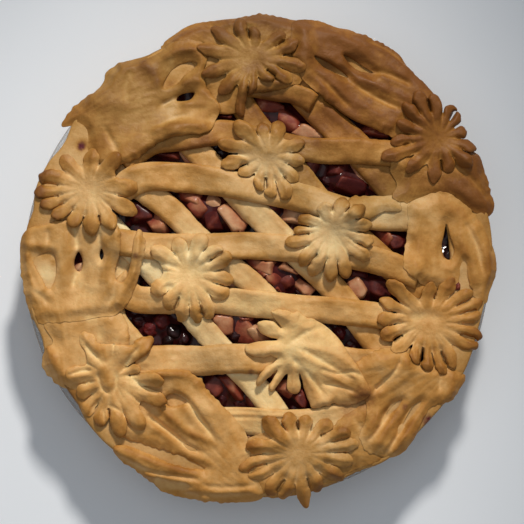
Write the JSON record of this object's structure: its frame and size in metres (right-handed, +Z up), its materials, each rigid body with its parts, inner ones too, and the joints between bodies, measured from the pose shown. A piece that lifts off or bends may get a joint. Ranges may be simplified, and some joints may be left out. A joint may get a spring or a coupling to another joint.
{
  "type": "apple pie",
  "caption": "Round pie baked in a clear glass dish, its lid a lattice of dough strips with cut-out leaves and flowers over a dark apple and berry filling.",
  "frame": {"origin": "middle of the dish's underside, on the surface it stands on", "axes": "+Z up; +Y towards the back of the pie as pictured, +X to its right"},
  "size_m": [0.2868, 0.2983, 0.0695],
  "materials": {
    "glass": "clear, smooth",
    "browned_dough": "baked shortcrust, golden with browner edges, faint egg-wash sheen",
    "pale_dough": "baked shortcrust, paler, faint egg-wash sheen",
    "filling": "cooked fruit in glossy dark red syrup"
  },
  "bodies": {
    "root": {"crust_base": "browned_dough", "filling": "filling", "flower_back": "browned_dough", "flower_back_right": "browned_dough", "flower_front": "browned_dough", "flower_front_left": "browned_dough", "flower_left": "browned_dough", "flower_middle_back": "browned_dough", "flower_middle_left": "browned_dough", "flower_middle_right": "browned_dough", "flower_right": "browned_dough", "glass_dish": "glass", "leaf_back": "browned_dough", "leaf_back_left": "browned_dough", "leaf_back_right": "browned_dough", "leaf_folded": "pale_dough", "leaf_front": "browned_dough", "leaf_front_left": "browned_dough", "leaf_front_middle": "browned_dough", "leaf_front_right": "browned_dough", "leaf_left": "browned_dough", "leaf_middle": "browned_dough", "leaf_right": "browned_dough", "leaf_right_upper": "browned_dough", "strip_low_1": "pale_dough", "strip_low_2": "pale_dough", "strip_low_3": "pale_dough", "strip_low_4": "pale_dough", "strip_low_5": "pale_dough", "strip_low_6": "pale_dough", "strip_top_1": "pale_dough", "strip_top_2": "pale_dough", "strip_top_3": "pale_dough", "strip_top_4": "pale_dough", "strip_top_5": "pale_dough", "strip_top_6": "pale_dough", "strip_top_7": "pale_dough"}
  },
  "joints": []
}
